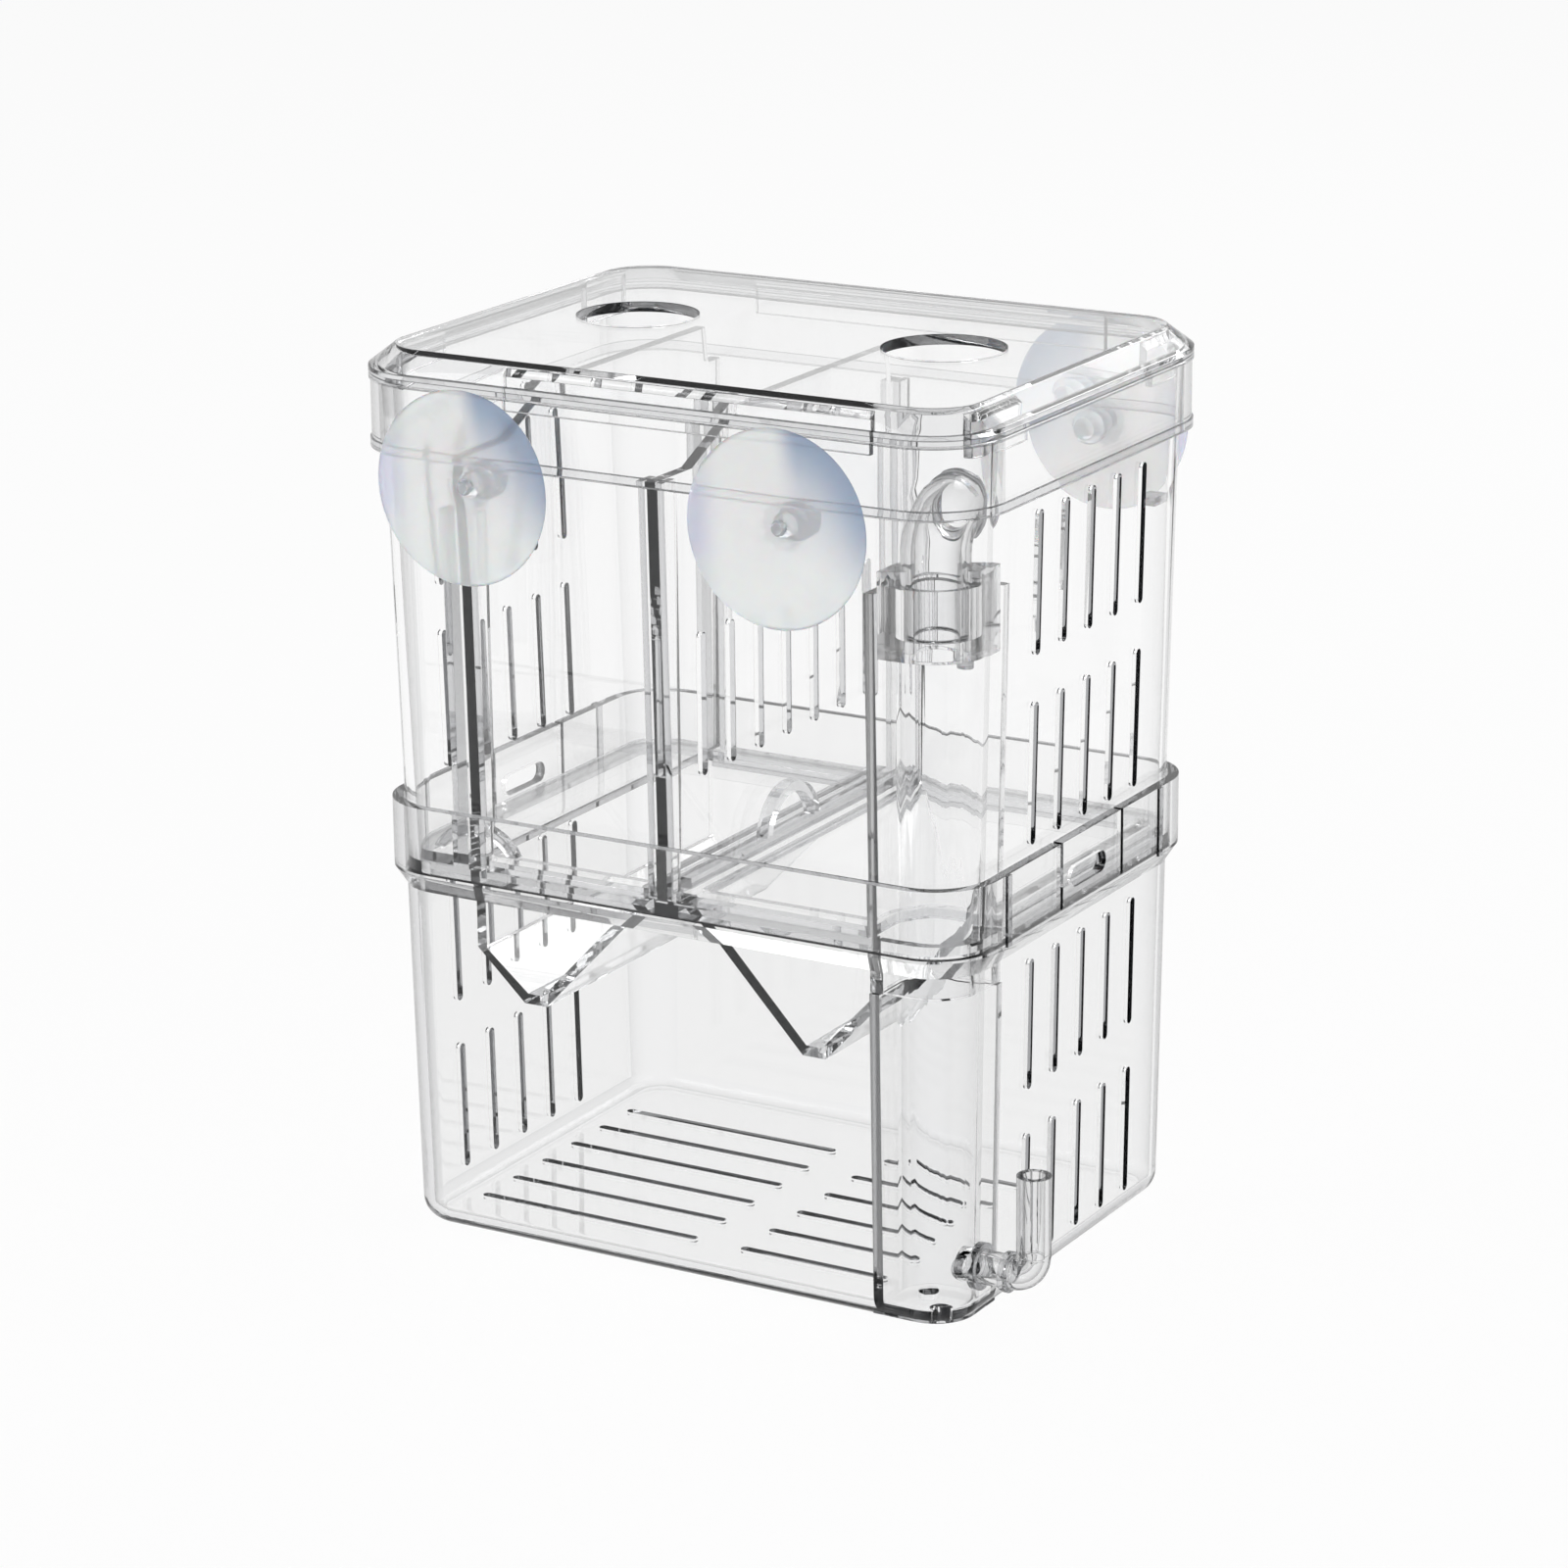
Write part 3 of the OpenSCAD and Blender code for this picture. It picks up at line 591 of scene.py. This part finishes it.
@dataclass(frozen=True)
class MilkyRubber:
    """Soft milky rubber: a pale dish with a painted steel-blue shade on one side and a lilac patch
    near the other, on a stem with a painted darker shade.
    """

    name: str = "cup_rubber"
    pale: Colour = (0.92, 0.925, 0.93)
    # painted steel-blue shade on one side of the dish
    blue: Colour = (0.36, 0.48, 0.62)
    lilac: Colour = (0.72, 0.74, 0.9)
    # painted shade on the stem, seen through the dish, and on the nub
    stem: Colour = (0.62, 0.65, 0.68)
    polish: float = 0.1
    polish_change: float = 0.05
    wave_depth: float = 0.05 * MM
    clearness: float = 0.62
    scatter: float = 0.4
    scatter_depth: float = 3.0 * MM

    def material(self) -> bpy.types.Material:
        """Builds the material once.

        Returns:
            The material.
        """
        if self.name in bpy.data.materials:
            return bpy.data.materials[self.name]
        material = bpy.data.materials.new(self.name)
        material.use_nodes = True
        tree = material.node_tree
        shader = tree.nodes["Principled BSDF"]
        shader.inputs["Transmission Weight"].default_value = self.clearness
        shader.inputs["Subsurface Weight"].default_value = self.scatter
        shader.inputs["Subsurface Scale"].default_value = self.scatter_depth
        shader.inputs["IOR"].default_value = PLASTIC_INDEX
        place = tree.nodes.new("ShaderNodeUVMap")
        place.uv_map = DISH_MAP
        tint = tree.nodes.new("ShaderNodeGroup")
        tint.node_tree = DishBlueShadeAndLilac().group()
        link(tree, place.outputs["UV"], tint.inputs["Place"])
        kind = tree.nodes.new("ShaderNodeAttribute")
        kind.attribute_name = FACE_KIND
        # Painted shade: steel blue over one side of the dish
        colour = blend_colours(tree, tint.outputs["Blue"], self.pale, self.blue)
        colour = blend_colours(tree, tint.outputs["Lilac"], colour, self.lilac)
        # Painted darker shade on the stem and the nub
        colour = blend_colours(tree, kind.outputs["Fac"], colour, self.stem)
        link(tree, colour, shader.inputs["Base Color"])
        add_ripple(tree, shader, self.polish, self.polish_change, self.wave_depth)
        return material


CUP_RUBBER = MilkyRubber()


# ---------------------------------------------------------------- mesh helpers


def deselect_all() -> None:
    """Leaves object mode's selection empty."""
    if bpy.context.object and bpy.context.object.mode != "OBJECT":
        bpy.ops.object.mode_set(mode="OBJECT")
    bpy.ops.object.select_all(action="DESELECT")


def select_only(piece: bpy.types.Object) -> None:
    """Selects one object and makes it active.

    Args:
        piece: the object.
    """
    deselect_all()
    piece.select_set(True)
    bpy.context.view_layer.objects.active = piece


def apply_modifier(piece: bpy.types.Object, kind: str, **settings: object) -> None:
    """Adds a modifier with its settings and applies it.

    Args:
        piece: the object.
        kind: the modifier's type.
        settings: the modifier's properties.
    """
    select_only(piece)
    modifier = piece.modifiers.new(kind.lower(), kind)
    for key, value in settings.items():
        setattr(modifier, key, value)
    bpy.ops.object.modifier_apply(modifier=modifier.name)


def smooth_strip(
    first: bmesh.types.BMFace, seen: set[bmesh.types.BMFace]
) -> tuple[list[bmesh.types.BMFace], float]:
    """Gathers the faces that run on smoothly from one face.

    Args:
        first: the face to start from.
        seen: the faces gathered so far, which gets the new ones.

    Returns:
        The faces of the strip, and the length of its outline in metres.
    """
    seen.add(first)
    strip, waiting, outline = [], [first], 0.0
    while waiting:
        face = waiting.pop()
        strip.append(face)
        for edge in face.edges:
            others = [other for other in edge.link_faces if other is not face]
            if not others or face.normal.dot(others[0].normal) <= SMOOTH_TURN:
                outline += edge.calc_length()
            elif others[0] not in seen:
                seen.add(others[0])
                waiting.append(others[0])
    return strip, outline


def mark_edges(mesh: bmesh.types.BMesh) -> None:
    """Marks the thin faces, such as rims and the sides of slots.

    Faces that meet smoothly count as one strip, whose mean width is twice its area over its
    outline.

    Args:
        mesh: the piece's mesh, with its normals up to date.
    """
    seen: set[bmesh.types.BMFace] = set()
    for first in mesh.faces:
        if first in seen:
            continue
        strip, outline = smooth_strip(first, seen)
        if outline and 2 * sum(face.calc_area() for face in strip) / outline < EDGE_WIDTH:
            for face in strip:
                face.material_index = FaceKind.EDGE


def mark_bends(mesh: bmesh.types.BMesh) -> None:
    """Marks the narrow faces that make up a rounded surface.

    Args:
        mesh: the piece's mesh, with its normals up to date.
    """
    for face in mesh.faces:
        if face.material_index != FaceKind.WALL:
            continue
        if 2 * face.calc_area() / face.calc_perimeter() >= BEND_WIDTH:
            continue
        longest = max(edge.calc_length() for edge in face.edges)
        turns = [
            face.normal.dot(other.normal)
            for edge in face.edges
            for other in edge.link_faces
            if other is not face and edge.calc_length() > min(BEND_WIDTH, longest / 3)
        ]
        if any(SMOOTH_TURN < turn < FLAT_TURN for turn in turns):
            face.material_index = FaceKind.BEND


def mark_faces(piece: bpy.types.Object) -> None:
    """Sorts the faces of a piece into walls, edges and bends, by their material number.

    Args:
        piece: the piece.
    """
    while len(piece.data.materials) < len(FaceKind):
        piece.data.materials.append(None)
    mesh = bmesh.new()
    mesh.from_mesh(piece.data)
    mesh.normal_update()
    mark_edges(mesh)
    mark_bends(mesh)
    mesh.to_mesh(piece.data)
    mesh.free()


def soft_copy(node: bpy.types.Object, name: str, edge: float) -> bpy.types.Object:
    """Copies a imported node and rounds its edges, as a mould leaves them.

    Args:
        node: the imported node's object.
        name: the new piece's name.
        edge: the edge radius in metres, or 0 to leave the edges sharp.

    Returns:
        The new piece.
    """
    select_only(node)
    bpy.ops.object.duplicate()
    piece = bpy.context.active_object
    piece.name = name
    piece.parent = None
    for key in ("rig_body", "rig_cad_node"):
        if key in piece:
            del piece[key]
    piece.data.name = name
    bpy.ops.mesh.customdata_custom_splitnormals_clear()
    bpy.ops.object.mode_set(mode="EDIT")
    bpy.ops.mesh.select_mode(type="VERT")
    bpy.ops.mesh.select_all(action="SELECT")
    bpy.ops.mesh.remove_doubles(threshold=MERGE_DISTANCE)
    bpy.ops.mesh.dissolve_limited(angle_limit=FLATTEN_ANGLE)
    bpy.ops.object.mode_set(mode="OBJECT")
    mark_faces(piece)
    if edge:
        # the rounded faces become rims, which the clear plastic paints as dark lines of shade
        apply_modifier(
            piece,
            "BEVEL",
            width=edge,
            segments=ROUNDED_STEPS,
            limit_method="ANGLE",
            angle_limit=ROUNDED_ANGLE,
            use_clamp_overlap=True,
            material=int(FaceKind.RIM),
            miter_outer="MITER_ARC",
        )
    select_only(piece)
    bpy.ops.object.shade_smooth_by_angle(angle=SHADED_ANGLE)
    apply_modifier(
        piece, "WEIGHTED_NORMAL", mode="FACE_AREA", weight=LARGE_FACES_LEAD, keep_sharp=True
    )
    return piece


def finish_piece(
    piece: bpy.types.Object, material: bpy.types.Material, slot: Slot, body: str, *nodes: str
) -> bpy.types.Object:
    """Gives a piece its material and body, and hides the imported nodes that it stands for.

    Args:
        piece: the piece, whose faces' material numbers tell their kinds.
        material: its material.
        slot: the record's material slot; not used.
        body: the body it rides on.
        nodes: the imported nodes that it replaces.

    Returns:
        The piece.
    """
    mesh = piece.data
    kinds = [float(face.material_index) for face in mesh.polygons]
    mesh.attributes.new(FACE_KIND, "FLOAT", "FACE").data.foreach_set("value", kinds)
    mesh.materials.clear()
    mesh.materials.append(material)
    mesh.polygons.foreach_set("material_index", [0] * len(kinds))
    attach(piece, body)
    if nodes:
        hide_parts(*nodes)
    log.info("%s: %d faces, on %s", piece.name, len(mesh.polygons), body)
    return piece


# ---------------------------------------------------------------- sub-assemblies


@dataclass(frozen=True)
class MouldedPart:
    """One clear moulding, with the edges that its mould rounds."""

    node: str
    body: str
    finish: ClearPlastic
    edge: float = ROUNDED_EDGE

    def build(self, frame: dict) -> bpy.types.Object:
        """Makes the moulding and dresses it.


        Returns:
            The piece.
        """
        piece = soft_copy(frame["nodes"][self.node], f"{self.node}_moulding", self.edge)
        return finish_piece(piece, self.finish.material(), Slot.CLEAR, self.body, self.node)


@dataclass(frozen=True)
class SuctionCup:
    """A suction cup, copied from its imported solid."""

    node: str
    body: str
    finish: MilkyRubber = CUP_RUBBER

    def build(self, frame: dict) -> bpy.types.Object:
        """Makes the cup and dresses it.


        Returns:
            The piece.
        """
        piece = soft_copy(frame["nodes"][self.node], f"{self.node}_rubber", 0.0)
        low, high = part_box(self.node)
        self.mark_stem(piece, low, high)
        self.map_dish(piece, low, high)
        return finish_piece(piece, self.finish.material(), Slot.RUBBER, self.body, self.node)

    def mark_stem(self, piece: bpy.types.Object, low: Vector, high: Vector) -> None:
        """Marks the stem behind the dish and the nub in its middle, which take a painted darker
        shade.

        Args:
            piece: the cup.
            low: the low corner of its box.
            high: the high corner of its box.
        """
        middle = Vector(((low.x + high.x) / 2, 0.0, (low.z + high.z) / 2))
        rim_y = low.y if low.y < 0 else high.y
        for face in piece.data.polygons:
            reach = (Vector((face.center.x, 0.0, face.center.z)) - middle).length
            depth = abs(face.center.y - rim_y)
            stem = reach < STEM_REACH and depth > DISH_DEPTH
            face.material_index = FaceKind.EDGE if stem or reach < NUB_REACH else FaceKind.WALL

    def map_dish(self, piece: bpy.types.Object, low: Vector, high: Vector) -> None:
        """Lays the dish's map flat over the cup, as seen from its rim.

        Args:
            piece: the cup.
            low: the low corner of its box.
            high: the high corner of its box.
        """
        layer = piece.data.uv_layers.new(name=DISH_MAP)
        faces_front = low.y < 0
        for loop in piece.data.loops:
            place = piece.data.vertices[loop.vertex_index].co
            across = (place.x - low.x) / (high.x - low.x)
            up = (place.z - low.z) / (high.z - low.z)
            layer.data[loop.index].uv = (across if faces_front else 1 - across, up)


MOULDED_PARTS = (
    MouldedPart("lower_tank", "tank", TANK_PLASTIC),
    MouldedPart("upper_box", "box", BOX_PLASTIC),
    MouldedPart("lid", "lid", COVER_PLASTIC),
    MouldedPart("column_plug", "plug", BOX_PLASTIC),
    MouldedPart("outlet_elbow", "outlet", TUBE_PLASTIC),
    MouldedPart("air_inlet_elbow", "air_inlet", TUBE_PLASTIC),
    MouldedPart("left_tray", "tray_left", SHEET_PLASTIC),
    MouldedPart("right_tray", "tray_right", SHEET_PLASTIC),
    MouldedPart("centre_divider", "divider_centre", SHEET_PLASTIC),
    MouldedPart("left_divider", "divider_left", SHEET_PLASTIC),
)
SUCTION_CUPS = (
    SuctionCup("front_cup_left", "cup_front_left"),
    SuctionCup("front_cup_right", "cup_front_right"),
    SuctionCup("back_cup", "cup_back"),
)


# ---------------------------------------------------------------- studio


@dataclass(frozen=True)
class Lamp:
    """A soft round lamp: its place and size in metres, and its power in watts."""

    name: str
    place: tuple[float, float, float]
    size: float
    power: float

    def hang(self, aim: Vector) -> None:
        """Adds the lamp.

        Args:
            aim: the point that it shines at.
        """
        deselect_all()
        bpy.ops.object.light_add(type="AREA", location=self.place)
        lamp = bpy.context.active_object
        lamp.name = self.name
        lamp.data.shape = "DISK"
        lamp.data.size = self.size
        lamp.data.energy = self.power
        way = aim - Vector(self.place)
        lamp.rotation_euler = way.to_track_quat("-Z", "Y").to_euler()


@dataclass(frozen=True)
class Studio:
    """Pale floor, soft lamps, a pale world and the camera."""

    floor_size: float = 14.0
    floor_drop: float = 0.2 * MM
    floor_tint: Colour = (0.85, 0.85, 0.85)
    floor_roughness: float = 0.9
    floor_shine: float = 0.1
    paper: float = 0.985
    paper_share: float = 0.93
    world_light: float = 0.62
    lamps: tuple[Lamp, ...] = (
        Lamp("key_lamp", (-0.7, -0.9, 1.1), 0.8, 9.0),
        Lamp("fill_lamp", (1.0, -0.3, 0.8), 0.8, 5.0),
        Lamp("back_lamp", (0.1, 1.1, 1.0), 0.9, 6.0),
    )
    lamp_aim: tuple[float, float, float] = (0.0, 0.0, 0.08)
    focal_pixels: float = 5218.1
    frame_pixels: float = 1600.0
    sensor: float = 36.0
    azimuth: float = 30.357
    elevation: float = 16.792
    roll: float = -0.596
    distance: float = 962.3 * MM
    target: tuple[float, float, float] = (-0.562 * MM, -0.329 * MM, 84.071 * MM)
    nearest: float = 0.01
    farthest: float = 30.0

    def build(self) -> None:
        """Makes the floor, the world, the lamps and the camera."""
        self.floor()
        self.world()
        for lamp in self.lamps:
            lamp.hang(Vector(self.lamp_aim))
        self.camera()

    def floor(self) -> None:
        """Makes the pale floor, which keeps a faint shadow."""
        deselect_all()
        place = (0.0, 0.0, -self.floor_drop)
        bpy.ops.mesh.primitive_plane_add(size=self.floor_size, location=place)
        floor = bpy.context.active_object
        floor.name = "studio_floor"
        bpy.ops.object.transform_apply(location=True)
        material = bpy.data.materials.new("studio_paper")
        material.use_nodes = True
        tree = material.node_tree
        shader = tree.nodes["Principled BSDF"]
        feed(tree, shader.inputs["Base Color"], self.floor_tint)
        shader.inputs["Roughness"].default_value = self.floor_roughness
        shader.inputs["Specular IOR Level"].default_value = self.floor_shine
        glow = tree.nodes.new("ShaderNodeEmission")
        feed(tree, glow.inputs["Color"], (self.paper,) * 3)
        share = math_node(tree, "MULTIPLY", seen_rays(tree), self.paper_share)
        mixed = blend_shaders(tree, share, shader.outputs["BSDF"], glow.outputs["Emission"])
        link(tree, mixed, tree.nodes["Material Output"].inputs["Surface"])
        floor.data.materials.append(material)

    def world(self) -> None:
        """Makes the pale world: paper white where it is seen, softer where it lights."""
        world = bpy.data.worlds.new("studio")
        bpy.context.scene.world = world
        world.use_nodes = True
        tree = world.node_tree
        tree.nodes.clear()
        output = tree.nodes.new("ShaderNodeOutputWorld")
        light = tree.nodes.new("ShaderNodeBackground")
        light.inputs["Strength"].default_value = self.world_light
        paper = tree.nodes.new("ShaderNodeBackground")
        feed(tree, paper.inputs["Color"], (self.paper,) * 3)
        mixed = blend_shaders(
            tree, seen_rays(tree), light.outputs["Background"], paper.outputs["Background"]
        )
        link(tree, mixed, output.inputs["Surface"])

    def camera(self) -> None:
        """Sets the camera on its measured line of sight."""
        deselect_all()
        azimuth, elevation = math.radians(self.azimuth), math.radians(self.elevation)
        back = Vector(
            (
                math.sin(azimuth) * math.cos(elevation),
                -math.cos(azimuth) * math.cos(elevation),
                math.sin(elevation),
            )
        )
        right = Vector((math.cos(azimuth), math.sin(azimuth), 0.0))
        up = back.cross(right)
        roll = Matrix.Rotation(math.radians(self.roll), 3, "Z")
        turn = Matrix((right, up, back)).transposed() @ roll
        place = Vector(self.target) + back * self.distance
        bpy.ops.object.camera_add()
        camera = bpy.context.active_object
        camera.name = "camera"
        camera.matrix_world = Matrix.Translation(place) @ turn.to_4x4()
        camera.data.sensor_width = self.sensor
        camera.data.lens = self.focal_pixels * self.sensor / self.frame_pixels
        camera.data.clip_start = self.nearest
        camera.data.clip_end = self.farthest
        bpy.context.scene.camera = camera


def let_light_through(scene: bpy.types.Scene, crossings: int = 40, mirrors: int = 12) -> None:
    """Lets a ray cross all of the clear walls that lie behind one another.

    Args:
        scene: the scene.
        crossings: how many surfaces a ray may cross.
        mirrors: how many times it may be mirrored.
    """
    scene.cycles.max_bounces = crossings
    scene.cycles.transmission_bounces = crossings
    scene.cycles.glossy_bounces = mirrors
    scene.cycles.transparent_max_bounces = crossings


def main() -> None:
    """Builds the studio and every piece."""
    logging.basicConfig(level=logging.INFO, format="%(message)s")
    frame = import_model()
    scene = bpy.context.scene
    scene.view_settings.view_transform = "Standard"
    let_light_through(scene)
    Studio().build()
    for part in MOULDED_PARTS + SUCTION_CUPS:
        part.build(frame)


if __name__ == "__main__":
    main()
